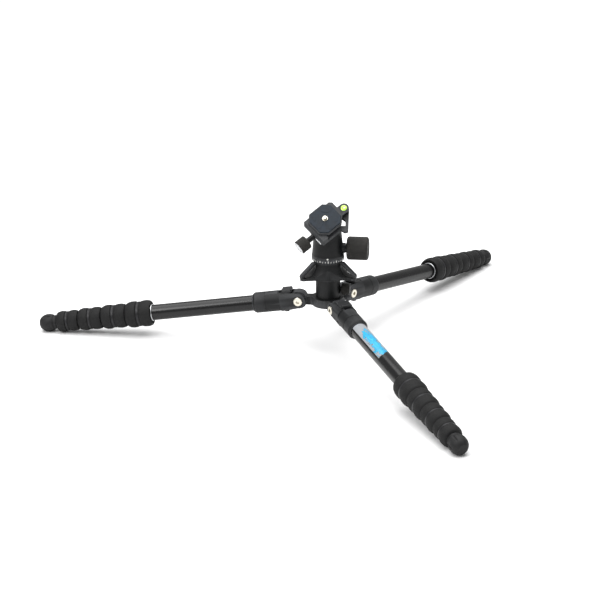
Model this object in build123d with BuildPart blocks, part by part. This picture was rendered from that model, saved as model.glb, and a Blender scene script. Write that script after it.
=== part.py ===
from build123d import *
import os
from math import atan2, cos, degrees, radians, sin, sqrt

# Travel tripod with a ball head and a quick-release clamp, standing at its widest leg angle.
# Millimetres. Origin: mouth of the threaded socket under the short centre column, on the column
# axis. +Z is up. The ground is 62 mm below the origin.

os.makedirs("parts", exist_ok=True)

RUN = 0.05              # radial clearance of a turning or sliding fit
GAP = 0.3               # radial clearance of parts that only pass each other

# ---------------------------------------------------------------- crown and legs
LEG_AZIMUTHS = (172.0, 292.0, 52.0)
LEG_DROP = 8.0          # degrees below level at the widest leg stop
PIVOT_R = 47.7          # column axis to leg pivot
PIVOT_Z = 11.5
HUB_R = 26.0
HUB_Z = (4.3, 17.9)
SLEEVE_R = 20.0
SLEEVE_TOP = 50.0
ARM_W = 16.0
ARM_FILLET = 6.0
KNUCKLE_R = 14.5
KNUCKLE_W = 16.6

BOLT_R = 4.0
BOLT_HEAD_R = 7.2
BOLT_FACE = 17.9        # bolt head face, from the leg's centre plane
BOLT_SEAT = 14.2
HEX_R = 3.2
HEX_DEPTH = 3.0

YOKE_R = 17.0
YOKE_EAR_R = 12.0
YOKE_EAR_ROUND = 18.0   # rounding of the ears' outer corners
YOKE_SLOT_W = 17.0
YOKE_SLOT_R = 15.6
YOKE_END = 74.5
YOKE_RING = 54.0        # seam between the yoke's two diameters
YOKE_BLEND = 30.0

TAB_X = (9.0, 26.0)
TAB_Z = (15.2, 19.8)
TAB_HALF_W = 9.8
TAB_POCKET_END = 32.6
SLIDER_X = (18.2, 25.0)
SLIDER_HALF_W = 5.0
SLIDER_FLANK = 0.2      # slider to yoke, each side
TAB_TRAVEL = 6.0

TUBE_R = (13.0, 11.25, 9.5, 7.75, 6.0)
TUBE_WALL = 1.2
TUBE_START = (38.0, 42.0, 46.0, 50.0, 54.0)
TUBE_END = (279.0, 321.0, 361.0, 399.0, 428.0)
GUIDE_LEN = 14.0        # nylon guide band at the top of each inner section

LOCK_START = (247.0, 291.0, 333.0, 373.0)
LOCK_END = (291.0, 333.0, 373.0, 411.0)
LOCK_R = (22.0, 20.3, 18.9, 17.5)
LOCK_SEAM = 0.4
FOOT_START = 411.0
FOOT_NECK_R = 11.5
FOOT_R = 14.5
FOOT_END = 439.5

# ---------------------------------------------------------------- centre column and canopy
BUSH_R = 16.0
COLUMN_R = 14.0
COLUMN_BORE_R = 11.5
COLUMN_TOP = 62.0
SOCKET_R = 4.7625       # 3/8 inch thread, major radius
SOCKET_DEPTH = 12.0
COLUMN_KNOB_AZ = -8.0
COLUMN_KNOB_Z = 31.0
COLUMN_KNOB_R = 9.5
COLUMN_KNOB_SPAN = (22.3, 35.5)
COLUMN_STUD_R = 3.0

CANOPY_Z = (50.6, 80.0)
CANOPY_TOP_R = 23.0
CANOPY_WAIST_R = 22.0
CANOPY_RIM_R = 25.6
SKIRT_BOTTOM = 53.4
SKIRT_RIDGE = ((54.0, 56.4), (41.5, 57.0), (36.5, 57.6), (31.5, 60.0), (27.6, 64.3), (24.8, 70.6), (22.8, 76.5))
LOBE_AZIMUTHS = (210.0, 330.0, 90.0)
LOBE_REACH = 45.2       # centre of a corner's rounding, from the column axis
LOBE_ROUND = 6.2
STRUT_W = 7.0
STRUT_TOP_R = 28.5
STRUT_TIP = (46.8, 59.6)  # centre of the strut's round end: radius and height
STRUT_TIP_R = 4.6
STRUT_END = (49.4, 63.4)  # outer face of the strut, where it meets its end
LOOP_FLOOR = ((44.8, 58.6), (41.5, 57.6), (36.5, 58.2), (31.5, 60.6), (27.6, 65.0), (25.0, 71.5))
LOOP_ROOF = ((25.5, 77.0), (45.2, 61.4))

# ---------------------------------------------------------------- ball head
PAN_BASE_R = 26.3
PAN_BASE_Z = (80.4, 87.0)
SPIGOT_R = 12.0
SPIGOT_TOP = 94.5
HOUSING_FOOT_R = 26.0
HOUSING_RIM_R = 21.8
HOUSING_Z = (87.2, 134.0)
BALL_Z = 127.0
BALL_R = 17.0
SOCKET_WALL_R = 17.4
CUP_Z = (107.0, 120.0)
NOTCH_AZ = 262.0
NOTCH_W = 13.6
TILT = 45.0

MAIN_KNOB_AZ = -8.0
MAIN_KNOB_Z = 101.0
MAIN_KNOB_R = 18.8
MAIN_KNOB_SPAN = (31.3, 65.6)
MAIN_SHAFT_R = 4.0
MAIN_BOSS_R = 8.3
PAN_KNOB_AZ = 112.0
PAN_KNOB_Z = 91.2
PAN_KNOB_R = 9.0
PAN_KNOB_SPAN = (29.0, 43.0)
PAN_STUD_R = 2.5

# Heights along the stem, from the ball's centre
STEM_R = 6.25
STEM_FLANGE = (24.0, 27.0)
STEM_FLANGE_R = 11.0
STEM_SPIGOT_R = 8.0
STEM_SPIGOT_TOP = 29.5
CLAMP_N = (27.2, 35.0)
JAW_TOP = 41.0
CLAMP_SCREW_R = 3.0
CLAMP_SCREW_HEAD_R = 5.2
PLATE_BOTTOM = 35.3
CAMERA_HEAD_H = 2.9
SLAB_N = (41.3, 45.0)
PAD_TOP = 47.0
SCREW_TOP = 52.0

# Across the clamp: S runs along the dovetail, P across it towards the fixed jaw
CLAMP_S = (-21.0, 26.5)
FIXED_JAW_P = 28.5
FIXED_JAW_END = 11.6
DOVETAIL_HALF = 19.0    # 38 mm dovetail
DOVETAIL_NECK = 16.0
DOVETAIL_LENGTH = 37.0
JAW_P = (-16.4, -30.0)
ROD_S = (-14.0, 19.0)
ROD_R = 2.0
KNOB_S = 5.0
KNOB_SCREW_R = 3.0
CLAMP_KNOB_R = 11.5
CLAMP_KNOB_P = (-43.0, -61.0)
CLAMP_AXIS_N = 32.0
PLATE_HALF = 24.0
PLATE_CORNER = 10.6
CAMERA_SCREW_R = 3.175  # 1/4 inch thread, major radius
CAMERA_NECK_R = 2.5     # the plain neck that keeps the screw in the plate
CAMERA_HEAD_R = 7.5
VIAL_SP = (3.2, 35.6)
VIAL_R = 4.9
LUG_R = 8.2
STRAP_N = (28.6, 34.9)
STRAP_CORNER = ((36.1, 15.7), (33.6, 10.4), (25.2, 8.3))
STRAP_WINDOW = ((10.9, 23.3), (19.0, 24.9), (26.6, 18.3), (21.4, 12.9))


def save(solid, label):
    solid.label = label
    export_step(solid, f"parts/{label}.step")


def radial_plane(azimuth, height):
    """Plane on the column axis whose normal points outwards at this azimuth."""
    outward = (cos(radians(azimuth)), sin(radians(azimuth)), 0)
    return Plane(origin=(0, 0, height), x_dir=(0, 0, 1), z_dir=outward)


def upright_plane(azimuth):
    """Vertical plane through the column axis: x is outwards at this azimuth, y is up."""
    side = (sin(radians(azimuth)), -cos(radians(azimuth)), 0)
    return Plane(origin=(0, 0, 0), x_dir=(cos(radians(azimuth)), sin(radians(azimuth)), 0), z_dir=side)


def leg_location(azimuth):
    """Leg frame: origin on the pivot, x down the leg, y across it, z up from it."""
    out_x = cos(radians(azimuth))
    out_y = sin(radians(azimuth))
    fall = radians(LEG_DROP)
    return Plane(
        origin=(PIVOT_R * out_x, PIVOT_R * out_y, PIVOT_Z),
        x_dir=(out_x * cos(fall), out_y * cos(fall), -sin(fall)),
        z_dir=(out_x * sin(fall), out_y * sin(fall), cos(fall)),
    ).location


def stem_location():
    """Clamp frame: origin at the ball's centre, z along the tilted stem, x and y are S and P."""
    lean = radians(TILT)
    facing = radians(NOTCH_AZ)
    normal = Vector(cos(facing) * sin(lean), sin(facing) * sin(lean), cos(lean))
    right = Vector(-sin(facing), cos(facing), 0)
    rise = normal.cross(right)
    along = (right - rise) * (1 / sqrt(2))
    return Plane(origin=(0, 0, BALL_Z), x_dir=along, z_dir=normal).location


# ================================================================ crown
with BuildPart() as crown:
    with BuildSketch(Plane.XY.offset(HUB_Z[0])) as hub_outline:
        Circle(HUB_R)
        with PolarLocations(PIVOT_R / 2, len(LEG_AZIMUTHS), start_angle=LEG_AZIMUTHS[0]):
            Rectangle(PIVOT_R, ARM_W)
        fillet(hub_outline.vertices().filter_by(lambda v: abs(Vector(v).length - HUB_R) < 0.1), ARM_FILLET)
    extrude(amount=HUB_Z[1] - HUB_Z[0])
    for azimuth in LEG_AZIMUTHS:
        with BuildSketch(upright_plane(azimuth)):
            with Locations((PIVOT_R, PIVOT_Z)):
                Circle(KNUCKLE_R)
        extrude(amount=KNUCKLE_W / 2, both=True)
    with BuildSketch(Plane.XY.offset(HUB_Z[0])):
        Circle(SLEEVE_R)
    extrude(amount=SLEEVE_TOP - HUB_Z[0])
    chamfer(crown.edges().group_by(Axis.Z)[-1], 1.0)
    with BuildSketch(Plane.XY.offset(HUB_Z[0])):
        Circle(BUSH_R)
    extrude(amount=SLEEVE_TOP, mode=Mode.SUBTRACT)
    with BuildSketch(radial_plane(COLUMN_KNOB_AZ, COLUMN_KNOB_Z)):
        Circle(COLUMN_STUD_R + RUN)
    extrude(amount=SLEEVE_R + 5, mode=Mode.SUBTRACT)
    for azimuth in LEG_AZIMUTHS:
        with BuildSketch(upright_plane(azimuth)):
            with Locations((PIVOT_R, PIVOT_Z)):
                Circle(BOLT_R)
        extrude(amount=KNUCKLE_W, both=True, mode=Mode.SUBTRACT)
save(crown.part, "crown")

# A leg pivot bolt: a shank right through, with a socket head at each end. Built across y.
with BuildPart() as pivot_bolt:
    with BuildSketch(Plane.XZ):
        Circle(BOLT_R)
    extrude(amount=BOLT_FACE, both=True)
    for side in (1, -1):
        with BuildSketch(Plane.XZ.offset(side * BOLT_SEAT)):
            Circle(BOLT_HEAD_R)
        extrude(amount=side * (BOLT_FACE - BOLT_SEAT))
    chamfer(pivot_bolt.edges().filter_by(GeomType.CIRCLE).group_by(Axis.Y)[0], 0.8)
    chamfer(pivot_bolt.edges().filter_by(GeomType.CIRCLE).group_by(Axis.Y)[-1], 0.8)
    for side in (1, -1):
        with BuildSketch(Plane.XZ.offset(side * BOLT_FACE)):
            RegularPolygon(HEX_R, 6)
        extrude(amount=-side * HEX_DEPTH, mode=Mode.SUBTRACT)
bolts = Compound(children=[pivot_bolt.part.moved(leg_location(a)) for a in LEG_AZIMUTHS])
save(bolts, "pivot_bolts")

# ================================================================ leg pieces, in the leg frame
with BuildPart() as yoke:
    with BuildSketch(Plane.XZ):
        Circle(YOKE_EAR_R)
        with BuildLine():
            Polyline((0, YOKE_EAR_R), (YOKE_BLEND, YOKE_R), (YOKE_BLEND, -YOKE_R), (0, -YOKE_EAR_R), close=True)
        make_face()
    extrude(amount=YOKE_R, both=True)
    with BuildSketch(Plane.YZ.offset(-YOKE_EAR_R)):
        Circle(YOKE_EAR_ROUND)
    extrude(amount=YOKE_BLEND + YOKE_EAR_R, mode=Mode.INTERSECT)
    with BuildSketch(Plane.XZ):
        with BuildLine():
            Polyline((YOKE_BLEND - 8, 0), (YOKE_BLEND - 8, YOKE_R), (YOKE_RING, YOKE_R),
                     (YOKE_RING, YOKE_R - 0.5), (YOKE_RING + 0.8, YOKE_R - 0.5), (YOKE_RING + 0.8, YOKE_R),
                     (YOKE_END - 3.5, YOKE_R), (YOKE_END - 0.5, YOKE_R - 1.8), (YOKE_END, YOKE_R - 2.6),
                     (YOKE_END, 0), close=True)
        make_face()
    revolve(axis=Axis.X)
    with BuildSketch(Plane.XZ):
        Circle(YOKE_SLOT_R)
    extrude(amount=YOKE_SLOT_W / 2, both=True, mode=Mode.SUBTRACT)
    with Locations((-YOKE_EAR_R / 2, 0, 0)):
        Box(YOKE_EAR_R + 20, YOKE_SLOT_W, 3 * YOKE_R, mode=Mode.SUBTRACT)
    with BuildSketch(Plane.YZ.offset(TUBE_START[0] - 0.5)):
        Circle(TUBE_R[0])
    extrude(amount=YOKE_END, mode=Mode.SUBTRACT)
    with BuildSketch(Plane.XZ):
        Circle(BOLT_R + RUN)
    extrude(amount=YOKE_R + 1, both=True, mode=Mode.SUBTRACT)
    for side in (1, -1):
        with BuildSketch(Plane.XZ.offset(side * (BOLT_SEAT - RUN))):
            Circle(BOLT_HEAD_R + GAP)
        extrude(amount=side * 5, mode=Mode.SUBTRACT)
    # Pocket for the angle-lock tab, its slider slot, and the pocket for the lower button
    with Locations(((TAB_POCKET_END + YOKE_SLOT_R - 4) / 2, 0, TAB_Z[0] - GAP + 5)):
        Box(TAB_POCKET_END - YOKE_SLOT_R + 4, 2 * TAB_HALF_W + 2 * GAP, 10, mode=Mode.SUBTRACT)
    with Locations(((SLIDER_X[0] + SLIDER_X[1] + TAB_TRAVEL) / 2, 0, 0)):
        Box(SLIDER_X[1] - SLIDER_X[0] + TAB_TRAVEL + 2 * SLIDER_FLANK,
            2 * (SLIDER_HALF_W + SLIDER_FLANK), 3 * YOKE_R, mode=Mode.SUBTRACT)

with BuildPart() as angle_lock:
    with Locations(((TAB_X[0] + TAB_X[1]) / 2, 0, (TAB_Z[0] + TAB_Z[1]) / 2)):
        Box(TAB_X[1] - TAB_X[0], 2 * TAB_HALF_W, TAB_Z[1] - TAB_Z[0])
    fillet(angle_lock.edges().filter_by(Axis.Y).group_by(Axis.Z)[-1], 2.2)
    chamfer(angle_lock.edges().filter_by(Axis.X).group_by(Axis.Z)[-1], 1.6)
    with Locations(((SLIDER_X[0] + SLIDER_X[1]) / 2, 0, 0)):
        Box(SLIDER_X[1] - SLIDER_X[0], 2 * SLIDER_HALF_W, 2 * (TAB_Z[0] + 1))
    with Locations(((SLIDER_X[0] + SLIDER_X[1]) / 2, 0, -TAB_Z[0] - 1 - 1.2)):
        Box(SLIDER_X[1] - SLIDER_X[0], 2 * SLIDER_HALF_W, 2.4)


def leg_tube(index):
    """One drawn tube. An inner section carries a guide band that fits the tube around it."""
    outer = TUBE_R[index]
    inner = outer - TUBE_WALL
    start = TUBE_START[index]
    end = TUBE_END[index]
    with BuildPart() as tube:
        with BuildSketch(Plane.YZ.offset(start)):
            Circle(outer)
        extrude(amount=end - start)
        if index > 0:
            with BuildSketch(Plane.YZ.offset(start)):
                Circle(TUBE_R[index - 1] - TUBE_WALL - RUN)
            extrude(amount=GUIDE_LEN)
        with BuildSketch(Plane.YZ.offset(start)):
            Circle(inner)
        extrude(amount=end - start, mode=Mode.SUBTRACT)
    return tube.part


def twist_lock(index):
    """A rubber-sleeved ring on the end of one tube, closing down on the next thinner one."""
    start = LOCK_START[index] + LOCK_SEAM / 2
    end = LOCK_END[index] - LOCK_SEAM / 2
    length = end - start
    outer = LOCK_R[index]
    grip = outer - 1.1
    with BuildPart() as lock:
        with BuildSketch(Plane.XZ):
            with BuildLine():
                Line((start, 0), (start, outer - 2.2))
                Line((start, outer - 2.2), (start + 1.6, outer - 0.7))
                ThreePointArc((start + 1.6, outer - 0.7), (start + 0.22 * length, outer),
                              (start + 0.41 * length, outer - 0.6))
                Polyline((start + 0.41 * length, outer - 0.6), (start + 0.43 * length, grip - 0.7),
                         (start + 0.46 * length, grip), (start + 0.54 * length, grip),
                         (start + 0.57 * length, grip - 0.7), (start + 0.59 * length, outer - 0.6))
                ThreePointArc((start + 0.59 * length, outer - 0.6), (start + 0.72 * length, outer - 0.1),
                              (start + 0.85 * length, outer - 1.2))
                Polyline((start + 0.85 * length, outer - 1.2), (end, outer - 4.4), (end, 0), (start, 0))
            make_face()
        revolve(axis=Axis.X)
        with BuildSketch(Plane.YZ.offset(start)):
            Circle(outer - 3.4)
            Circle(TUBE_R[index] + 2.2, mode=Mode.SUBTRACT)
        extrude(amount=4.0, mode=Mode.SUBTRACT)
        with BuildSketch(Plane.YZ.offset(start)):
            Circle(TUBE_R[index] + RUN)
        extrude(amount=TUBE_END[index] + 0.5 - start, mode=Mode.SUBTRACT)
        with BuildSketch(Plane.YZ.offset(start)):
            Circle(TUBE_R[index + 1] + GAP)
        extrude(amount=length, mode=Mode.SUBTRACT)
    return lock.part


with BuildPart() as foot:
    with BuildSketch(Plane.XZ):
        with BuildLine():
            Polyline((FOOT_START + 0.2, 0), (FOOT_START + 0.2, FOOT_NECK_R), (FOOT_START + 4.5, FOOT_NECK_R),
                     (FOOT_START + 6.0, FOOT_R - 1.6))
            Spline((FOOT_START + 6.0, FOOT_R - 1.6), (FOOT_START + 13.0, FOOT_R),
                   (FOOT_START + 22.0, FOOT_R - 1.6), (FOOT_END, 7.5))
            Polyline((FOOT_END, 7.5), (FOOT_END, 0), (FOOT_START + 0.2, 0))
        make_face()
    revolve(axis=Axis.X)
    with BuildSketch(Plane.YZ.offset(FOOT_START + 5.0)):
        with PolarLocations(FOOT_R + 1.2, 6):
            Circle(2.8)
    extrude(amount=FOOT_END, mode=Mode.SUBTRACT)
    with BuildSketch(Plane.YZ.offset(FOOT_START)):
        Circle(TUBE_R[4])
    extrude(amount=TUBE_END[4] - FOOT_START, mode=Mode.SUBTRACT)

leg_pieces = {"yoke": yoke.part, "angle_lock": angle_lock.part, "foot": foot.part}
for number in range(5):
    leg_pieces[f"tube_{number + 1}"] = leg_tube(number)
for number in range(4):
    leg_pieces[f"twist_lock_{number + 1}"] = twist_lock(number)
for leg_number, azimuth in enumerate(LEG_AZIMUTHS, start=1):
    for piece_name, piece in leg_pieces.items():
        save(piece.moved(leg_location(azimuth)), f"leg{leg_number}_{piece_name}")

# ================================================================ centre column
# Split nylon liner between the sleeve and the column
with BuildPart() as column_bush:
    with BuildSketch(Plane.XY.offset(HUB_Z[0] + 1)):
        Circle(BUSH_R - RUN)
        Circle(COLUMN_R + RUN, mode=Mode.SUBTRACT)
    extrude(amount=SLEEVE_TOP - HUB_Z[0] - 2)
    with Locations(Location((-BUSH_R, 0, SLEEVE_TOP / 2))):
        Box(BUSH_R, 1.5, SLEEVE_TOP + 10, mode=Mode.SUBTRACT)
save(column_bush.part, "column_bush")

with BuildPart() as column_tube:
    with BuildSketch():
        Circle(COLUMN_R)
    extrude(amount=COLUMN_TOP)
    chamfer(column_tube.edges().group_by(Axis.Z)[0], 1.2)
    with BuildSketch(Plane.XY.offset(SOCKET_DEPTH + 3)):
        Circle(COLUMN_BORE_R)
    extrude(amount=COLUMN_TOP, mode=Mode.SUBTRACT)
    with BuildSketch():
        Circle(SOCKET_R)
    extrude(amount=SOCKET_DEPTH, mode=Mode.SUBTRACT)
save(column_tube.part, "column_tube")


def lock_knob(azimuth, height, radius, span, stud_radius, stud_start, collar_radius):
    """A round grip on a threaded stud that points at the column axis."""
    axis_plane = radial_plane(azimuth, height)
    with BuildPart() as knob:
        with BuildSketch(axis_plane.offset(span[0])):
            Circle(radius)
        extrude(amount=span[1] - span[0])
        chamfer(knob.edges().filter_by(GeomType.CIRCLE), 1.2)
        with BuildSketch(axis_plane.offset(stud_start)):
            Circle(stud_radius)
        extrude(amount=span[0] - stud_start)
        with BuildSketch(axis_plane.offset(span[0] - 1.5)):
            Circle(collar_radius)
        extrude(amount=1.5)
    return knob.part


save(lock_knob(COLUMN_KNOB_AZ, COLUMN_KNOB_Z, COLUMN_KNOB_R, COLUMN_KNOB_SPAN,
               COLUMN_STUD_R, BUSH_R + GAP, 4.5), "column_knob")

# Three-cornered canopy. A skirt spreads to three corners, and a strut over each makes a loop for a strap or a hook.
with BuildPart() as canopy:
    with BuildSketch(Plane.XZ):
        with BuildLine():
            Line((0, SKIRT_BOTTOM), (SKIRT_RIDGE[0][0], SKIRT_BOTTOM))
            Line((SKIRT_RIDGE[0][0], SKIRT_BOTTOM), SKIRT_RIDGE[0])
            Spline(*SKIRT_RIDGE)
            Line(SKIRT_RIDGE[-1], (0, SKIRT_RIDGE[-1][1]))
            Line((0, SKIRT_RIDGE[-1][1]), (0, SKIRT_BOTTOM))
        make_face()
    revolve(axis=Axis.Z)
    with BuildSketch(Plane.XY.offset(SKIRT_BOTTOM)):
        Circle(CANOPY_RIM_R)
        for azimuth in LOBE_AZIMUTHS:
            with Locations(Rotation(0, 0, azimuth)):
                Polygon((0, 19), (13, 21.5), (LOBE_REACH, LOBE_ROUND), (LOBE_REACH, -LOBE_ROUND),
                        (13, -21.5), (0, -19), align=None)
                with Locations((LOBE_REACH, 0)):
                    Circle(LOBE_ROUND)
    extrude(amount=SKIRT_RIDGE[-1][1] - SKIRT_BOTTOM, mode=Mode.INTERSECT)
    with BuildSketch(Plane.XZ):
        with BuildLine():
            Polyline((0, CANOPY_Z[0]), (CANOPY_RIM_R - 0.5, CANOPY_Z[0]), (CANOPY_RIM_R - 0.5, SKIRT_BOTTOM + 1),
                     (CANOPY_WAIST_R, SKIRT_BOTTOM + 5), (CANOPY_WAIST_R, CANOPY_Z[1] - 6),
                     (CANOPY_TOP_R, CANOPY_Z[1] - 2.5), (CANOPY_TOP_R, CANOPY_Z[1]), (0, CANOPY_Z[1]), close=True)
        make_face()
    revolve(axis=Axis.Z)
    for azimuth in LOBE_AZIMUTHS:
        with BuildSketch(upright_plane(azimuth)):
            with BuildLine():
                Polyline((14, CANOPY_Z[1]), (STRUT_TOP_R, CANOPY_Z[1]), STRUT_END,
                         (STRUT_TIP[0], STRUT_TIP[1] - STRUT_TIP_R), (14, SKIRT_BOTTOM), close=True)
            make_face()
            with Locations(STRUT_TIP):
                Circle(STRUT_TIP_R)
        extrude(amount=STRUT_W / 2, both=True)
    for azimuth in LOBE_AZIMUTHS:
        with BuildSketch(upright_plane(azimuth)):
            with BuildLine():
                Spline(*LOOP_FLOOR)
                Line(LOOP_FLOOR[-1], LOOP_ROOF[0])
                Line(LOOP_ROOF[0], LOOP_ROOF[1])
                Line(LOOP_ROOF[1], LOOP_FLOOR[0])
            make_face()
        extrude(amount=STRUT_W, both=True, mode=Mode.SUBTRACT)
    with BuildSketch(Plane.XY.offset(CANOPY_Z[0])):
        Circle(COLUMN_R)
    extrude(amount=COLUMN_TOP - CANOPY_Z[0], mode=Mode.SUBTRACT)
    with BuildSketch(Plane.XY.offset(CANOPY_Z[0])):
        Circle(SOCKET_R)
    extrude(amount=CANOPY_Z[1], mode=Mode.SUBTRACT)
save(canopy.part, "canopy")

with BuildPart() as head_stud:
    with BuildSketch(Plane.XY.offset(COLUMN_TOP - 4)):
        Circle(SOCKET_R)
    extrude(amount=SPIGOT_TOP - 3 - COLUMN_TOP + 4)
save(head_stud.part, "head_stud")

# ================================================================ ball head
with BuildPart() as pan_base:
    with BuildSketch(Plane.XY.offset(PAN_BASE_Z[0])):
        Circle(PAN_BASE_R)
    extrude(amount=PAN_BASE_Z[1] - PAN_BASE_Z[0])
    chamfer(pan_base.edges().group_by(Axis.Z)[0], 1.8)
    chamfer(pan_base.edges().group_by(Axis.Z)[-1], 0.5)
    with BuildSketch(Plane.XY.offset(PAN_BASE_Z[0])):
        Circle(SPIGOT_R)
    extrude(amount=SPIGOT_TOP - PAN_BASE_Z[0])
    with BuildSketch(Plane.XY.offset(PAN_BASE_Z[0])):
        Circle(SOCKET_R)
    extrude(amount=SPIGOT_TOP - 3 - PAN_BASE_Z[0], mode=Mode.SUBTRACT)
save(pan_base.part, "pan_base")

LIP_R = sqrt(SOCKET_WALL_R ** 2 - (HOUSING_Z[1] - BALL_Z) ** 2)
LIP_MID = radians(0.5 * degrees(atan2(HOUSING_Z[1] - BALL_Z, LIP_R)))
FLOOR_TOP = CUP_Z[0] - 2.5
with BuildPart() as head_housing:
    with BuildSketch(Plane.XZ):
        with BuildLine():
            Polyline((0, HOUSING_Z[0]), (HOUSING_FOOT_R, HOUSING_Z[0]), (HOUSING_FOOT_R, HOUSING_Z[0] + 3),
                     (HOUSING_FOOT_R - 0.6, HOUSING_Z[0] + 6), (HOUSING_RIM_R, HOUSING_Z[1] - 2.5),
                     (HOUSING_RIM_R - 1.8, HOUSING_Z[1]), (LIP_R, HOUSING_Z[1]))
            ThreePointArc((LIP_R, HOUSING_Z[1]),
                          (SOCKET_WALL_R * cos(LIP_MID), BALL_Z + SOCKET_WALL_R * sin(LIP_MID)),
                          (SOCKET_WALL_R, BALL_Z))
            Polyline((SOCKET_WALL_R, BALL_Z), (SOCKET_WALL_R, FLOOR_TOP), (0, FLOOR_TOP), (0, HOUSING_Z[0]))
        make_face()
    revolve(axis=Axis.Z)
    with BuildSketch(radial_plane(MAIN_KNOB_AZ, MAIN_KNOB_Z).offset(HOUSING_RIM_R)):
        Circle(MAIN_BOSS_R)
    extrude(amount=MAIN_KNOB_SPAN[0] - 3.3 - HOUSING_RIM_R)
    with BuildSketch(Plane.XY.offset(HOUSING_Z[0])):
        Circle(SPIGOT_R + RUN)
    extrude(amount=SPIGOT_TOP + 0.3 - HOUSING_Z[0], mode=Mode.SUBTRACT)
    with BuildSketch(radial_plane(MAIN_KNOB_AZ, MAIN_KNOB_Z).offset(3)):
        Circle(MAIN_SHAFT_R + RUN)
    extrude(amount=MAIN_KNOB_SPAN[0], mode=Mode.SUBTRACT)
    with BuildSketch(radial_plane(PAN_KNOB_AZ, PAN_KNOB_Z).offset(SPIGOT_R - 1)):
        Circle(PAN_STUD_R + RUN)
    extrude(amount=HOUSING_FOOT_R, mode=Mode.SUBTRACT)
    # Drop notch: the stem can lie level in it
    with BuildSketch(radial_plane(NOTCH_AZ, BALL_Z).offset(SOCKET_WALL_R - 6)):
        Circle(NOTCH_W / 2)
        with Locations((BALL_R, 0)):
            Rectangle(2 * BALL_R, NOTCH_W)
    extrude(amount=HOUSING_FOOT_R, mode=Mode.SUBTRACT)
save(head_housing.part, "head_housing")

with BuildPart() as ball_cup:
    with BuildSketch(Plane.XY.offset(CUP_Z[0])):
        Circle(SOCKET_WALL_R)
        Circle(BALL_R / 2, mode=Mode.SUBTRACT)
    extrude(amount=CUP_Z[1] - CUP_Z[0])
    with Locations((0, 0, BALL_Z)):
        Sphere(BALL_R + RUN, mode=Mode.SUBTRACT)
save(ball_cup.part, "ball_cup")

main_axis = radial_plane(MAIN_KNOB_AZ, MAIN_KNOB_Z)
with BuildPart() as main_knob:
    with BuildSketch(main_axis.offset(MAIN_KNOB_SPAN[0])):
        Circle(MAIN_KNOB_R)
    extrude(amount=MAIN_KNOB_SPAN[1] - MAIN_KNOB_SPAN[0])
    chamfer(main_knob.edges().filter_by(GeomType.CIRCLE), 2.8)
    with BuildSketch(main_axis.offset(MAIN_KNOB_SPAN[1] - 1.2)):
        Circle(MAIN_KNOB_R - 5)
    extrude(amount=2, mode=Mode.SUBTRACT)
    with BuildSketch(main_axis.offset(MAIN_KNOB_SPAN[0])):
        Circle(MAIN_SHAFT_R)
    extrude(amount=20, mode=Mode.SUBTRACT)
save(main_knob.part, "main_knob")

with BuildPart() as main_shaft:
    with BuildSketch(main_axis.offset(6)):
        Circle(MAIN_SHAFT_R)
    extrude(amount=MAIN_KNOB_SPAN[0] + 20 - 6)
    with BuildSketch(main_axis.offset(MAIN_KNOB_SPAN[0] - 3.0)):
        Circle(MAIN_BOSS_R - 0.8)
    extrude(amount=3.0)
save(main_shaft.part, "main_shaft")

save(lock_knob(PAN_KNOB_AZ, PAN_KNOB_Z, PAN_KNOB_R, PAN_KNOB_SPAN,
               PAN_STUD_R, SPIGOT_R + RUN + GAP, 4.5), "pan_knob")

# ---------------------------------------------------------------- stem and clamp, in the clamp frame
with BuildPart() as ball_stem:
    Sphere(BALL_R)
    with BuildSketch():
        Circle(STEM_R)
    extrude(amount=STEM_FLANGE[0])
    with BuildSketch(Plane.XY.offset(STEM_FLANGE[0])):
        Circle(STEM_FLANGE_R)
    extrude(amount=STEM_FLANGE[1] - STEM_FLANGE[0])
    chamfer(ball_stem.edges().group_by(Axis.Z)[-1], 0.6)
    with BuildSketch(Plane.XY.offset(STEM_FLANGE[1])):
        Circle(STEM_SPIGOT_R)
    extrude(amount=STEM_SPIGOT_TOP - STEM_FLANGE[1])
    with BuildSketch(Plane.XY.offset(STEM_SPIGOT_TOP - 12)):
        Circle(CLAMP_SCREW_R)
    extrude(amount=12, mode=Mode.SUBTRACT)

with BuildPart() as clamp_screw:
    with BuildSketch(Plane.XY.offset(STEM_SPIGOT_TOP - 12)):
        Circle(CLAMP_SCREW_R)
    extrude(amount=14.2)
    with BuildSketch(Plane.XY.offset(STEM_SPIGOT_TOP + 2.2)):
        Circle(CLAMP_SCREW_HEAD_R)
    extrude(amount=2.8)
    with BuildSketch(Plane.XY.offset(STEM_SPIGOT_TOP + 5.0)):
        RegularPolygon(2.4, 6)
    extrude(amount=-1.8, mode=Mode.SUBTRACT)

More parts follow.
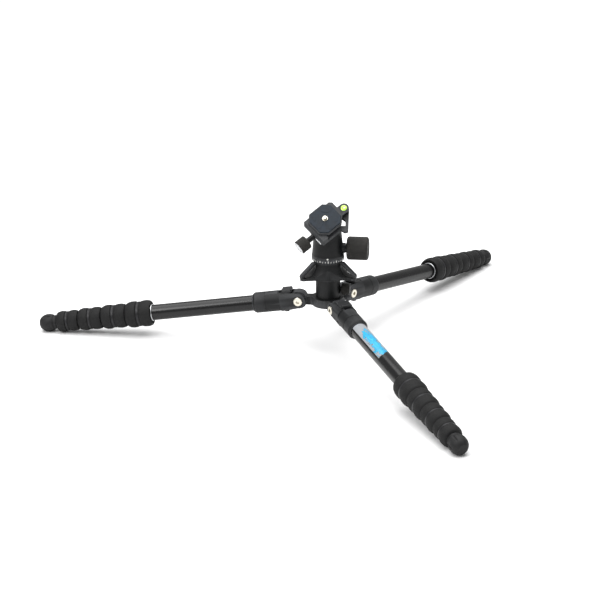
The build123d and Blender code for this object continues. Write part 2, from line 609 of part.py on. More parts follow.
# Clamp body: floor, fixed jaw, level lug and strap loop in one casting
with BuildPart() as clamp_base:
    with BuildSketch(Plane.XY.offset(CLAMP_N[0])):
        with BuildLine():
            Polyline((CLAMP_S[0], JAW_P[0] + 0.4), (CLAMP_S[1], JAW_P[0] + 0.4), (CLAMP_S[1], FIXED_JAW_P - 4.3),
                     (CLAMP_S[1] - 4.9, FIXED_JAW_P), (CLAMP_S[0] + 4, FIXED_JAW_P),
                     (CLAMP_S[0], FIXED_JAW_P - 4), close=True)
        make_face()
    extrude(amount=JAW_TOP - CLAMP_N[0])
    with BuildSketch(Plane.YZ.offset(CLAMP_S[0] - 1)):
        with BuildLine():
            Polyline((-40, CLAMP_N[1]), (DOVETAIL_HALF + 0.2, CLAMP_N[1]), (DOVETAIL_HALF + 0.2, 36.4),
                     (DOVETAIL_NECK + 0.2, 39.4), (DOVETAIL_NECK + 0.2, 50), (-40, 50), close=True)
        make_face()
    extrude(amount=60, mode=Mode.SUBTRACT)
    # Level lug beside the fixed jaw
    with BuildSketch(Plane.XY.offset(JAW_TOP - 9)):
        with Locations(VIAL_SP):
            Circle(LUG_R)
        with BuildLine():
            Polyline((VIAL_SP[0] - LUG_R, FIXED_JAW_P - 2), (VIAL_SP[0] + LUG_R + 5, FIXED_JAW_P - 2),
                     (VIAL_SP[0] + LUG_R, VIAL_SP[1]), (VIAL_SP[0] - LUG_R, VIAL_SP[1]), close=True)
        make_face()
    extrude(amount=9)
    # Strap loop: a bar from the lug, round the corner and back to the body
    with BuildSketch(Plane.XY.offset(STRAP_N[0])):
        with BuildLine():
            Polyline((VIAL_SP[0] + 4.8, VIAL_SP[1] + 6.0), *STRAP_CORNER, (CLAMP_S[1] - 3, 0.0),
                     (CLAMP_S[1] - 3, FIXED_JAW_P - 6), (VIAL_SP[0], FIXED_JAW_P - 1), close=True)
        make_face()
    extrude(amount=STRAP_N[1] - STRAP_N[0])
    with BuildSketch(Plane.XY.offset(CLAMP_N[0] - 1)):
        with BuildLine():
            Polyline(*STRAP_WINDOW, close=True)
        make_face()
    extrude(amount=JAW_TOP, mode=Mode.SUBTRACT)
    # The fixed jaw stops short of the window
    with BuildSketch(Plane.XY.offset(CLAMP_N[1])):
        with Locations((FIXED_JAW_END, 0)):
            Rectangle(60, 80, align=(Align.MIN, Align.MIN))
    extrude(amount=JAW_TOP, mode=Mode.SUBTRACT)
    with BuildSketch(Plane.XY.offset(JAW_TOP - 7.5)):
        with Locations(VIAL_SP):
            Circle(VIAL_R)
    extrude(amount=8, mode=Mode.SUBTRACT)
    # Seat for the stem, hole for its screw
    with BuildSketch(Plane.XY.offset(CLAMP_N[0])):
        Circle(STEM_SPIGOT_R + RUN)
    extrude(amount=STEM_SPIGOT_TOP + 0.1 - CLAMP_N[0], mode=Mode.SUBTRACT)
    with BuildSketch(Plane.XY.offset(CLAMP_N[0])):
        Circle(CLAMP_SCREW_R + GAP)
    extrude(amount=10, mode=Mode.SUBTRACT)
    with BuildSketch(Plane.XY.offset(STEM_SPIGOT_TOP + 2.0)):
        Circle(CLAMP_SCREW_HEAD_R + GAP)
    extrude(amount=10, mode=Mode.SUBTRACT)
    # Blind holes for the guide rods and the clamp screw, along P
    with BuildSketch(Plane.XZ.offset(-JAW_P[0])):
        with Locations((ROD_S[0], CLAMP_AXIS_N), (ROD_S[1], CLAMP_AXIS_N)):
            Circle(ROD_R)
    extrude(amount=-12, mode=Mode.SUBTRACT)
    with BuildSketch(Plane.XZ.offset(-JAW_P[0])):
        with Locations((KNOB_S, CLAMP_AXIS_N)):
            Circle(KNOB_SCREW_R - 1 + RUN)
    extrude(amount=-9, mode=Mode.SUBTRACT)
stem_parts = {"ball_stem": ball_stem.part, "clamp_screw": clamp_screw.part, "clamp_base": clamp_base.part}

with BuildPart() as guide_rods:
    with BuildSketch(Plane.XZ.offset(-JAW_P[0] - 11.5)):
        with Locations((ROD_S[0], CLAMP_AXIS_N), (ROD_S[1], CLAMP_AXIS_N)):
            Circle(ROD_R)
    extrude(amount=11.5 + 12.5)
stem_parts["guide_rods"] = guide_rods.part

with BuildPart() as level_vial:
    with BuildSketch(Plane.XY.offset(JAW_TOP - 7.5)):
        with Locations(VIAL_SP):
            Circle(VIAL_R)
    extrude(amount=7.9)
stem_parts["level_vial"] = level_vial.part

with BuildPart() as clamp_jaw:
    with BuildSketch(Plane.YZ.offset(CLAMP_S[0])):
        with BuildLine():
            Polyline((JAW_P[0], CLAMP_N[0] + 0.3), (JAW_P[0], CLAMP_N[1] + 0.2),
                     (-DOVETAIL_HALF - 0.2, CLAMP_N[1] + 0.2), (-DOVETAIL_HALF - 0.2, 36.4),
                     (-DOVETAIL_NECK - 0.2, 39.4), (-DOVETAIL_NECK - 0.2, JAW_TOP), (JAW_P[1] + 3.5, JAW_TOP),
                     (JAW_P[1], JAW_TOP - 4.5), (JAW_P[1], CLAMP_N[0] + 2.3), (JAW_P[1] + 2, CLAMP_N[0] + 0.3),
                     close=True)
        make_face()
    extrude(amount=CLAMP_S[1] - CLAMP_S[0])
    chamfer(clamp_jaw.edges().filter_by(Axis.Z).group_by(Axis.Y)[0], 3.0)
    with BuildSketch(Plane.XZ.offset(-JAW_P[0] - 3)):
        with Locations((ROD_S[0], CLAMP_AXIS_N), (ROD_S[1], CLAMP_AXIS_N)):
            Circle(ROD_R + RUN)
        with Locations((KNOB_S, CLAMP_AXIS_N)):
            Circle(KNOB_SCREW_R + RUN)
    extrude(amount=20, mode=Mode.SUBTRACT)
stem_parts["clamp_jaw"] = clamp_jaw.part

with BuildPart() as clamp_knob:
    with BuildSketch(Plane.XZ.offset(-CLAMP_KNOB_P[0])):
        with Locations((KNOB_S, CLAMP_AXIS_N)):
            Circle(CLAMP_KNOB_R)
    extrude(amount=CLAMP_KNOB_P[0] - CLAMP_KNOB_P[1])
    chamfer(clamp_knob.edges().filter_by(GeomType.CIRCLE), 1.8)
    with BuildSketch(Plane.XZ.offset(-CLAMP_KNOB_P[0])):
        with Locations((KNOB_S, CLAMP_AXIS_N)):
            Circle(KNOB_SCREW_R)
    extrude(amount=8, mode=Mode.SUBTRACT)
stem_parts["clamp_knob"] = clamp_knob.part

with BuildPart() as knob_screw:
    with BuildSketch(Plane.XZ.offset(-JAW_P[0] - 8)):
        with Locations((KNOB_S, CLAMP_AXIS_N)):
            Circle(KNOB_SCREW_R - 1)
    extrude(amount=9)
    with BuildSketch(Plane.XZ.offset(-JAW_P[0] + 1)):
        with Locations((KNOB_S, CLAMP_AXIS_N)):
            Circle(KNOB_SCREW_R)
    extrude(amount=JAW_P[0] - 1 - CLAMP_KNOB_P[0] + 8)
    with BuildSketch(Plane.XZ.offset(-JAW_P[1] + 0.3)):
        with Locations((KNOB_S, CLAMP_AXIS_N)):
            Circle(4.6)
    extrude(amount=JAW_P[1] - 0.3 - CLAMP_KNOB_P[0])
stem_parts["knob_screw"] = knob_screw.part

# Quick-release plate, its rubber face and the camera screw
with BuildPart() as plate:
    with BuildSketch(Plane.YZ.offset(-DOVETAIL_LENGTH / 2)):
        with BuildLine():
            Polyline((-DOVETAIL_HALF + 0.8, PLATE_BOTTOM), (DOVETAIL_HALF - 0.8, PLATE_BOTTOM),
                     (DOVETAIL_HALF, PLATE_BOTTOM + 0.8), (DOVETAIL_NECK, PLATE_BOTTOM + 3.8),
                     (DOVETAIL_NECK, SLAB_N[0]), (-DOVETAIL_NECK, SLAB_N[0]),
                     (-DOVETAIL_NECK, PLATE_BOTTOM + 3.8), (-DOVETAIL_HALF, PLATE_BOTTOM + 0.8), close=True)
        make_face()
    extrude(amount=DOVETAIL_LENGTH)
    with BuildSketch(Plane.XY.offset(SLAB_N[0])) as slab_outline:
        Rectangle(2 * PLATE_HALF, 2 * PLATE_HALF)
        chamfer(slab_outline.vertices(), PLATE_CORNER)
    extrude(amount=SLAB_N[1] - SLAB_N[0])
    chamfer(plate.edges().group_by(Axis.Z)[-1], 0.6)
    with BuildSketch(Plane.XY.offset(PLATE_BOTTOM)):
        Circle(CAMERA_HEAD_R + GAP)
    extrude(amount=CAMERA_HEAD_H + 0.2, mode=Mode.SUBTRACT)
    with BuildSketch(Plane.XY.offset(PLATE_BOTTOM)):
        Circle(CAMERA_SCREW_R + RUN)
    extrude(amount=SLAB_N[1], mode=Mode.SUBTRACT)
stem_parts["plate"] = plate.part

with BuildPart() as plate_pad:
    with BuildSketch(Plane.XY.offset(SLAB_N[1])) as pad_outline:
        Rectangle(2 * PLATE_HALF - 4, 2 * PLATE_HALF - 4)
        chamfer(pad_outline.vertices(), PLATE_CORNER - 1.2)
        Circle(CAMERA_SCREW_R + GAP, mode=Mode.SUBTRACT)
    extrude(amount=PAD_TOP - SLAB_N[1])
    chamfer(plate_pad.faces().sort_by(Axis.Z)[-1].outer_wire().edges(), 0.6)
stem_parts["plate_pad"] = plate_pad.part

with BuildPart() as camera_screw:
    with BuildSketch(Plane.XY.offset(PLATE_BOTTOM + 0.3)):
        Circle(CAMERA_HEAD_R)
    extrude(amount=CAMERA_HEAD_H - 0.3)
    with BuildSketch(Plane.XY.offset(PLATE_BOTTOM + 0.3)):
        Circle(CAMERA_NECK_R)
    extrude(amount=PAD_TOP - PLATE_BOTTOM)
    with BuildSketch(Plane.XY.offset(PAD_TOP + GAP)):
        Circle(CAMERA_SCREW_R)
    extrude(amount=SCREW_TOP - PAD_TOP - GAP)
    chamfer(camera_screw.edges().group_by(Axis.Z)[-1], 0.6)
    with BuildSketch(Plane.XY.offset(PLATE_BOTTOM + 0.3)):
        Rectangle(2 * CAMERA_HEAD_R, 1.6)
    extrude(amount=1.2, mode=Mode.SUBTRACT)
stem_parts["camera_screw"] = camera_screw.part

for piece_name, piece in stem_parts.items():
    save(piece.moved(stem_location()), piece_name)
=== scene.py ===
# %% [markdown]
# # A travel tripod, standing at its widest leg angle
# The real object is a small camera tripod: die-cast and machined black metal, drawn aluminium legs that slide
# into each other, rubber twist locks, and a ball head that carries a quick-release plate. The metal parts come
# from CAD. This lesson gives them their finishes and adds the small things that the eye looks for: grip pips,
# ribs, index marks, a leg label, the level's fluid and worn edges.

# %% Load the CAD frame
import bpy, bmesh, math
from mathutils import Matrix, Vector


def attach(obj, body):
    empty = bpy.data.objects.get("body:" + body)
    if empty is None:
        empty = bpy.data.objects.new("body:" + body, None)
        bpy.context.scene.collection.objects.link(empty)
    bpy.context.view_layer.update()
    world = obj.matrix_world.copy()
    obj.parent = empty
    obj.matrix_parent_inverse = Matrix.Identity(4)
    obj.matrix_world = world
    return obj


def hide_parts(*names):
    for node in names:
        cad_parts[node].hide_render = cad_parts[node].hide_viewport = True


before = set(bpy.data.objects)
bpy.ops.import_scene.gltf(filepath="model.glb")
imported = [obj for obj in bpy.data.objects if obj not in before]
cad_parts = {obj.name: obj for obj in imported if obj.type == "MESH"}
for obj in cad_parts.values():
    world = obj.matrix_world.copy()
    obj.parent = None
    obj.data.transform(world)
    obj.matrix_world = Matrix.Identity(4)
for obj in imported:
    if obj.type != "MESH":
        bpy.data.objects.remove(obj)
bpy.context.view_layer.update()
MM = 0.001

# %% [markdown]
# ## The tripod's own directions
# Nearly every part is round about some axis: a leg, a knob, the stem. Each axis gets a matrix whose Z is that
# axis, so a turned shape is drawn once as a radius against a distance and then placed by its matrix. Moving and
# turning each mesh by hand would also work, but a matrix keeps the numbers the same as in the CAD.

# %% Axes of the legs, the knobs and the stem
LEG_AZIMUTHS = {"leg1": 172.0, "leg2": 292.0, "leg3": 52.0}
PIVOT_R, PIVOT_Z, LEG_DROP = 47.7, 11.5, 8.0
BALL_Z, NOTCH_AZ, TILT = 127.0, 262.0, 45.0


def axes(origin, x, z):
    """A frame in metres from an origin in millimetres, an X direction and a Z direction."""
    z = Vector(z).normalized()
    x = (Vector(x) - z * Vector(x).dot(z)).normalized()
    turn = Matrix((x, z.cross(x), z)).transposed().to_4x4()
    return Matrix.Translation(Vector(origin) * MM) @ turn


def outwards(azimuth, fall=0.0):
    a, f = math.radians(azimuth), math.radians(fall)
    return Vector((math.cos(a) * math.cos(f), math.sin(a) * math.cos(f), -math.sin(f)))


def leg_axis(leg):
    azimuth = LEG_AZIMUTHS[leg]
    return axes(outwards(azimuth) * PIVOT_R + Vector((0, 0, PIVOT_Z)), (0, 0, 1), outwards(azimuth, LEG_DROP))


def knob_axis(azimuth, height):
    return axes((0, 0, height), (0, 0, 1), outwards(azimuth))


stem = outwards(NOTCH_AZ, -(90.0 - TILT))
across = outwards(NOTCH_AZ + 90.0)
rise = stem.cross(across)
STEM = axes((0, 0, BALL_Z), across - rise, stem)
MAIN_KNOB = knob_axis(-8, 101)
PAN_KNOB = knob_axis(112, 91.2)
COLUMN_KNOB = knob_axis(-8, 31)
CLAMP_KNOB = STEM @ axes((5.0, 0, 32.0), (0, 0, 1), (0, -1, 0))
print("stem points to", [round(v, 3) for v in stem])

# %% [markdown]
# ## Building meshes
# Turned parts are made by a small lathe: a list of (distance, radius) pairs swept about the axis. The same lathe
# can press grooves or ribs into the surface by changing the radius with the angle. A boolean for each groove
# would be slow and leave poor shading, and a bump map alone would not change the outline.

# %% Lathe, plates and joining


def finish_mesh(name, verts, faces, place, material, body, smooth=True, slot=None, stands_for=()):
    """Makes the object, gives it its finish and fixes it to a CAD body."""
    mesh = bpy.data.meshes.new(name)
    mesh.from_pydata([place @ (Vector(v) * MM) for v in verts], [], faces)
    mesh.validate()
    bm = bmesh.new()
    bm.from_mesh(mesh)
    bmesh.ops.recalc_face_normals(bm, faces=bm.faces)
    bm.to_mesh(mesh)
    bm.free()
    obj = bpy.data.objects.new(name, mesh)
    bpy.context.collection.objects.link(obj)
    obj.data.materials.append(material)
    if smooth:
        for polygon in mesh.polygons:
            polygon.use_smooth = True
        mesh.set_sharp_from_angle(angle=math.radians(38))
    if stands_for:
        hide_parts(*stands_for)
    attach(obj, body)
    return obj


def lathe(profile, segments=96, ribs=0, rib_depth=0.0, rib_span=(0, 0)):
    """Vertices and faces of a turned shape. Ribs run along the axis between the two distances of rib_span."""
    verts, faces = [], []
    for distance, radius in profile:
        for k in range(segments):
            angle = 2 * math.pi * k / segments
            r = radius
            if ribs and rib_span[0] <= distance <= rib_span[1]:
                r -= rib_depth * (0.5 - 0.5 * math.cos(ribs * angle)) ** 2
            verts.append((r * math.cos(angle), r * math.sin(angle), distance))
    for ring in range(len(profile) - 1):
        for k in range(segments):
            a, b = ring * segments + k, ring * segments + (k + 1) % segments
            faces.append((a, b, b + segments, a + segments))
    return verts, faces


def plates(outlines, low, high):
    """Flat plates of the given XY outlines, between two heights."""
    verts, faces = [], []
    for outline in outlines:
        n, base = len(outline), len(verts)
        verts += [(x, y, low) for x, y in outline] + [(x, y, high) for x, y in outline]
        faces.append(tuple(base + n + k for k in range(n)))
        faces.append(tuple(base + n - 1 - k for k in range(n)))
        faces += [(base + k, base + (k + 1) % n, base + n + (k + 1) % n, base + n + k) for k in range(n)]
    return verts, faces


def rounded(points, steps=3, pull=0.35):
    """Cuts each corner of an outline back, a few times over, so that it turns softly."""
    for _ in range(steps):
        made = []
        for k, p in enumerate(points):
            q = points[(k + 1) % len(points)]
            made.append((p[0] + (q[0] - p[0]) * pull * 0.7, p[1] + (q[1] - p[1]) * pull * 0.7))
            made.append((q[0] + (p[0] - q[0]) * pull * 0.7, q[1] + (p[1] - q[1]) * pull * 0.7))
        points = made
    return points


# %% [markdown]
# ## Finishes
# Each finish starts from what the real surface is and how it was made. Colours are written as the hex values that
# a screen shows and turned to linear light by one function. Patterns are sized in millimetres: the texture
# coordinates are the object's own, in metres, so a scale of 1000 / size gives cells of that size in mm.

# %% Colour and node helpers


def paint(hexcode):
    """A screen colour as linear red, green, blue and alpha."""
    channels = [int(hexcode[k:k + 2], 16) / 255 for k in (0, 2, 4)]
    return [c / 12.92 if c <= 0.04045 else ((c + 0.055) / 1.055) ** 2.4 for c in channels] + [1.0]


def add(tree, kind, inputs=None, **settings):
    """Adds a node with its settings. A value in inputs is either a constant or another node's output."""
    node = tree.nodes.new(kind)
    for key, value in settings.items():
        setattr(node, key, value)
    for key, value in (inputs or {}).items():
        if isinstance(value, bpy.types.NodeSocket):
            tree.links.new(value, node.inputs[key])
        else:
            node.inputs[key].default_value = value
    return node


def finish(name, **principled):
    """A new material with its Principled shader and object coordinates ready."""
    material = bpy.data.materials.new(name)
    material.use_nodes = True
    tree = material.node_tree
    shader = tree.nodes["Principled BSDF"]
    for key, value in principled.items():
        shader.inputs[key.replace("_", " ")].default_value = value
    return material, tree, shader, add(tree, "ShaderNodeTexCoord").outputs["Object"]


def two_tone(tree, factor, low, high, start=0.35, end=0.65):
    """A colour ramp between two screen colours."""
    ramp = add(tree, "ShaderNodeValToRGB", {"Fac": factor})
    ramp.color_ramp.elements[0].position, ramp.color_ramp.elements[0].color = start, paint(low)
    ramp.color_ramp.elements[1].position, ramp.color_ramp.elements[1].color = end, paint(high)
    return ramp.outputs["Color"]


def vary_roughness(tree, shader, pattern, low, high):
    """Lets a surface be glossier where the pattern is low and duller where it is high."""
    roughness = add(tree, "ShaderNodeMapRange", {"Value": pattern, "To Min": low, "To Max": high})
    tree.links.new(roughness.outputs["Result"], shader.inputs["Roughness"])


# %% [markdown]
# ### Powder-coated castings
# The crown, yokes, canopy and head are cast alloy under a satin black powder coat. The powder melts into a fine
# orange-peel skin with grains of about 0.5 mm, dull enough to show form in soft light, and a little paler on
# edges that hands and bags rub. Pointiness finds those edges without painting a mask.

# %% Powder coat
coat_mat, tree, shader, where = finish("powder_coated_alloy", Metallic=0.0, IOR=1.5, Specular_IOR_Level=0.26)
grain = add(tree, "ShaderNodeTexNoise", {"Vector": where, "Scale": 1000 / 0.5, "Detail": 3.0})
cloud = add(tree, "ShaderNodeTexNoise", {"Vector": where, "Scale": 1000 / 22, "Detail": 4.0})
edge = add(tree, "ShaderNodeNewGeometry").outputs["Pointiness"]
rub = add(tree, "ShaderNodeMapRange", {"Value": edge, "From Min": 0.53, "From Max": 0.62})
body_tone = two_tone(tree, cloud.outputs["Fac"], "0f1011", "151617")
worn = add(tree, "ShaderNodeMix", {"Factor": rub.outputs["Result"], 6: body_tone, 7: paint("38393b")},
           data_type="RGBA")
tree.links.new(worn.outputs[2], shader.inputs["Base Color"])
vary_roughness(tree, shader, grain.outputs["Fac"], 0.42, 0.6)
skin = add(tree, "ShaderNodeBump", {"Height": grain.outputs["Fac"], "Strength": 0.25, "Distance": 0.06 * MM})
tree.links.new(skin.outputs["Normal"], shader.inputs["Normal"])
print("powder coat ready")

# %% [markdown]
# ### Anodised tubes
# The leg tubes are drawn aluminium, polished and then anodised gloss black. The dye makes them nearly pure black,
# with long soft streaks of highlight. Hands leave faint patches about 30 mm wide that are a little duller. The dye
# layer hides the metal, so it is drawn as a dark dielectric rather than as a metal.

# %% Gloss black anodising
tube_mat, tree, shader, where = finish("gloss_black_anodised_aluminium", Metallic=0.0, IOR=1.5, Coat_Weight=0.12,
                                       Coat_Roughness=0.16, Specular_IOR_Level=0.3)
smear = add(tree, "ShaderNodeTexNoise", {"Vector": where, "Scale": 1000 / 30, "Detail": 1.0})
tree.links.new(two_tone(tree, smear.outputs["Fac"], "060607", "0a0a0b"), shader.inputs["Base Color"])
vary_roughness(tree, shader, smear.outputs["Fac"], 0.24, 0.3)

# %% [markdown]
# ### Rubber
# The twist locks and feet are moulded rubber. Rubber is dull, slightly grey where it is handled, and picks up
# dust in its hollows. Grain of about 0.4 mm keeps it from looking like plastic. The knobs are covered in a firmer
# rubber with less dust.

# %% Rubbers


def rubber(name, low, high, rough, grain_mm, strength):
    material, tree, shader, where = finish(name, Metallic=0.0, IOR=1.52, Specular_IOR_Level=0.3)
    dust = add(tree, "ShaderNodeTexNoise", {"Vector": where, "Scale": 1000 / 7, "Detail": 6.0})
    fine = add(tree, "ShaderNodeTexNoise", {"Vector": where, "Scale": 1000 / grain_mm, "Detail": 2.0})
    tree.links.new(two_tone(tree, dust.outputs["Fac"], low, high), shader.inputs["Base Color"])
    vary_roughness(tree, shader, dust.outputs["Fac"], rough - 0.08, rough + 0.08)
    bump = add(tree, "ShaderNodeBump", {"Height": fine.outputs["Fac"], "Strength": strength, "Distance": 0.1 * MM})
    tree.links.new(bump.outputs["Normal"], shader.inputs["Normal"])
    return material


lock_rubber = rubber("moulded_rubber_grip", "0a0a0b", "131313", 0.7, 0.4, 0.5)
foot_rubber = rubber("moulded_rubber_foot", "0d0d0e", "161617", 0.6, 0.6, 0.3)
knob_rubber = rubber("ribbed_knob_rubber", "171613", "201e1b", 0.6, 0.35, 0.35)
pad_rubber = rubber("blue_grey_plate_rubber", "121a22", "1a242e", 0.62, 0.45, 0.35)
band_mat = rubber("smooth_recessed_band", "131315", "1c1c1f", 0.42, 1.2, 0.08)
print("rubbers ready")

# %% [markdown]
# ### Bare and plated metal
# The pivot bolts, the camera screw and the clamp's trim are nickel-plated steel: a warm silver with hairline
# turning marks. The ball, the knob shafts and the pan ring are anodised, so they are darker and duller.

# %% Metals


def metal(name, low, high, rough, line_mm, metallic=1.0):
    material, tree, shader, where = finish(name, Metallic=metallic)
    lines = add(tree, "ShaderNodeTexNoise", {"Vector": where, "Scale": 1000 / line_mm, "Detail": 4.0})
    tree.links.new(two_tone(tree, lines.outputs["Fac"], low, high), shader.inputs["Base Color"])
    vary_roughness(tree, shader, lines.outputs["Fac"], rough - 0.06, rough + 0.08)
    return material


nickel = metal("nickel_plated_steel", "c8c3b6", "e2ddd0", 0.26, 0.9)
trim_mat = metal("bare_aluminium_edge", "b9bbbd", "d5d6d8", 0.34, 1.4)
# On the pan ring this grey is the ring's own colour; on the yoke collars it is a painted highlight.
ring_mat = metal("grey_anodised_ring_and_painted_highlight", "333436", "434447", 0.38, 1.0, 0.7)
ball_mat = metal("satin_anodised_ball", "202123", "2a2b2d", 0.3, 1.2, 0.7)
shaft_mat = metal("black_anodised_shaft", "101011", "19191a", 0.36, 1.0, 0.6)
nylon_mat = rubber("black_nylon", "121213", "19191b", 0.5, 0.8, 0.1)
white_mat = rubber("pale_index_paint", "c9c9c4", "dcdcd6", 0.55, 0.8, 0.05)

# %% [markdown]
# ### Finishes for the CAD nodes
# Every node that stays in view is given the finish of the real piece. The castings are the rule, so the list
# names only the others.

# %% Dress the CAD nodes
DRESS = {"pivot_bolts": nickel, "camera_screw": nickel, "clamp_screw": nickel, "guide_rods": nickel,
         "head_stud": nickel, "column_tube": tube_mat, "column_bush": nylon_mat, "ball_cup": nylon_mat,
         "pan_base": ring_mat, "ball_stem": ball_mat, "main_shaft": shaft_mat, "knob_screw": shaft_mat,
         "plate_pad": pad_rubber, "main_knob": knob_rubber, "pan_knob": knob_rubber, "column_knob": knob_rubber,
         "clamp_knob": knob_rubber, "level_vial": nylon_mat}
for name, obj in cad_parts.items():
    finish_for = DRESS.get(name, coat_mat)
    if "_tube_" in name:
        finish_for = tube_mat
    if "_twist_lock_" in name:
        finish_for = lock_rubber
    if name.endswith("_foot"):
        finish_for = foot_rubber
    obj.data.materials.clear()
    obj.data.materials.append(finish_for)
    for polygon in obj.data.polygons:
        polygon.use_smooth = True
    obj.data.set_sharp_from_angle(angle=math.radians(30))
print("dressed", len(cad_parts), "nodes")

# %% [markdown]
# ## Twist locks
# Each lock is a rubber sleeve with two swellings covered in small pips, and a smooth band let in between them.
# The pips are real bumps that catch the light and break the outline. They are laid in staggered rows, 2.5 mm
# apart. Real ones are nearer 1.5 mm, which would vanish at this distance, so they are drawn coarser.

# %% Lock sleeves and pips
LOCK_START = (247.0, 291.0, 333.0, 373.0)
LOCK_END = (291.0, 333.0, 373.0, 411.0)
LOCK_R = (22.0, 20.3, 18.9, 17.5)
TUBE_R = (13.0, 11.25, 9.5, 7.75, 6.0)
TUBE_END = (279.0, 321.0, 361.0, 399.0)
PIP_STEP, PIP_R, PIP_H = 2.5, 0.78, 0.42
LOCK_GAP = 0.2
LOCK_SEGMENTS = 72


def lock_profile(index):
    """(distance, radius) down the outside of a lock, round its end and back up its bore."""
    start, end = LOCK_START[index] + LOCK_GAP, LOCK_END[index] - LOCK_GAP
    size, outer = end - start, LOCK_R[index] - PIP_H
    bore, cup = TUBE_R[index] + 0.05, TUBE_R[index] + 2.4
    shape = [(start + 3.8, bore), (start + 3.8, cup), (start + 0.2, outer - 3.2), (start, outer - 2.6)]
    for k in range(13):
        u = k / 12
        swelling = math.sin(math.pi * (0.12 + 0.76 * u))
        shape.append((start + size * (0.03 + 0.38 * u), outer - 1.9 * (1 - swelling)))
    shape += [(start + size * 0.425, outer - 1.9), (start + size * 0.445, outer - 1.3),
              (start + size * 0.545, outer - 1.3), (start + size * 0.565, outer - 1.9)]
    for k in range(13):
        u = k / 12
        swelling = math.sin(math.pi * 0.5 * (0.35 + u))
        taper = 2.6 * max(0, u - 0.45) ** 1.5 * 2
        shape.append((start + size * (0.58 + 0.36 * u), outer - 0.9 * (1 - swelling) - taper))
    inner = TUBE_R[index + 1] + 0.3
    shape += [(end, outer - 5.2), (end, inner), (TUBE_END[index] + 0.5, inner), (TUBE_END[index] + 0.5, bore),
              (start + 3.8, bore)]
    return shape


def radius_at(shape, distance):
    """Outer radius of a profile at a distance along the axis."""
    best = 0.0
    for (d0, r0), (d1, r1) in zip(shape[3:-5], shape[4:-4]):
        if min(d0, d1) <= distance <= max(d0, d1) and d1 != d0:
            best = max(best, r0 + (r1 - r0) * (distance - d0) / (d1 - d0))
    return best


def pips(shape, rows):
    """Low domes on a turned surface, in staggered rows at the given distances."""
    verts, faces = [], []
    for row, distance in enumerate(rows):
        radius = radius_at(shape, distance)
        count = int(2 * math.pi * radius / PIP_STEP)
        for k in range(count):
            turn = 2 * math.pi * (k + 0.5 * (row % 2)) / count
            base = len(verts)
            for ring_r, ring_h in ((PIP_R, -0.12), (0.45 * PIP_R, 0.8 * PIP_H)):
                for m in range(6):
                    a = math.pi * m / 3
                    r, t = radius + ring_h, turn + ring_r * math.cos(a) / radius
                    verts.append((r * math.cos(t), r * math.sin(t), distance + ring_r * math.sin(a)))
            verts.append(((radius + PIP_H) * math.cos(turn), (radius + PIP_H) * math.sin(turn), distance))
            for m in range(6):
                n = (m + 1) % 6
                faces.append((base + m, base + n, base + 6 + n, base + 6 + m))
                faces.append((base + 6 + m, base + 6 + n, base + 12))
    return verts, faces


def lock_rows(index):
    start, size = LOCK_START[index], LOCK_END[index] - LOCK_START[index]
    rows, d = [], start + 3.0
    while d < start + size * 0.90:
        if not start + size * 0.39 < d < start + size * 0.61:
            rows.append(d)
        d += PIP_STEP * 0.87
    return rows


for leg in LEG_AZIMUTHS:
    for index in range(4):
        shape = lock_profile(index)
        verts, faces = lathe(shape, LOCK_SEGMENTS)
        more, extra = pips(shape, lock_rows(index))
        faces += [tuple(v + len(verts) for v in face) for face in extra]
        body = f"{leg}_twist_lock_{index + 1}"
        finish_mesh(f"{body}_sleeve", verts + more, faces, leg_axis(leg), lock_rubber, body,
                    slot="rubber", stands_for=[body])
        start, outer = LOCK_START[index] + LOCK_GAP, LOCK_R[index] - PIP_H
        size = LOCK_END[index] - LOCK_START[index] - 2 * LOCK_GAP
        groove = ((0.452, 1.32), (0.458, 1.0), (0.53, 1.0), (0.538, 1.32))
        band = [(start + size * share, outer - depth) for share, depth in groove]
        finish_mesh(f"{body}_band", *lathe(band, LOCK_SEGMENTS), leg_axis(leg), band_mat, body, slot="rubber")
print("pips per top lock:", len(pips(lock_profile(0), lock_rows(0))[0]) // 13)

# %% [markdown]
# ## Rings on the legs
# A thin turned ring shows where each yoke ends, in grey: a painted highlight for the light that the chamfer at the
# yoke's end catches. A second ring, in bare metal, shows where the first lock begins. Both are lathed like the
# rest. The yoke also has a small set screw on top.

# %% Leg rings and set screws
RING_BORE = TUBE_R[0] + 0.02
for leg in LEG_AZIMUTHS:
    place = leg_axis(leg)
    # The grey of this collar is a painted highlight: the light caught by the chamfer at the yoke's end.
    collar = [(74.45, RING_BORE), (74.45, 14.3), (75.1, 14.3), (75.6, 13.9), (75.6, RING_BORE)]
    finish_mesh(f"{leg}_yoke_collar_highlight", *lathe(collar), place, ring_mat, leg, slot="bright_steel")
    lip = [(245.6, RING_BORE), (245.9, 13.8), (246.9, 14.0), (247.1, RING_BORE)]
    finish_mesh(f"{leg}_lock_lip", *lathe(lip), place, trim_mat, leg, slot="bright_steel")
    screw = place @ axes((17.05, 0, 46.0), (0, 0, 1), (1, 0, 0))
    dimple = [(0.0, 2.6), (0.1, 2.4), (-0.35, 2.1), (-0.4, 1.2), (-0.6, 0.0)]
    finish_mesh(f"{leg}_set_screw", *lathe(dimple, 24), screw, shaft_mat, leg, slot="dark_metal")

# %% [markdown]
# ## Knobs
# The knobs are rubber over metal. Fine ribs along the grip are pressed in by the lathe. The main knob has a
# shallow dished end; the clamp knob has a bright end ring.

# %% Ribbed knobs


